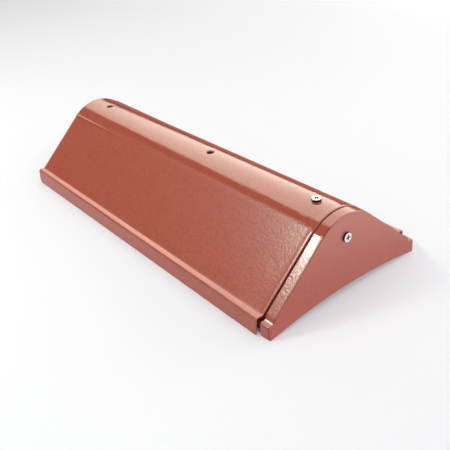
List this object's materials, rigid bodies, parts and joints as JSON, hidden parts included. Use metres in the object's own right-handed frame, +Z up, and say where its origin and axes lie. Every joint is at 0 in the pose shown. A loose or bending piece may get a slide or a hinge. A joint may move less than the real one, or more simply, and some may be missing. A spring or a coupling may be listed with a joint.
{
  "type": "verge end tile",
  "caption": "Painted sheet-metal ridge-shaped verge tile with a round crown, ledged skirts and a screwed end cap.",
  "frame": {"origin": "middle of the footprint, on the level that the skirts and the cap's feet stand on", "axes": "+X along the cover towards the capped end, +Z up through the crown, +Y across the cover"},
  "size_m": [0.4158, 0.188, 0.0813],
  "materials": {
    "paint": "glossy terracotta powder coat with orange-peel texture",
    "plated_steel": "bright zinc plating"
  },
  "bodies": {
    "root": {"cover": "paint", "end_cap": "paint", "crown_screw": "plated_steel", "plate_screw": "plated_steel"}
  },
  "joints": []
}
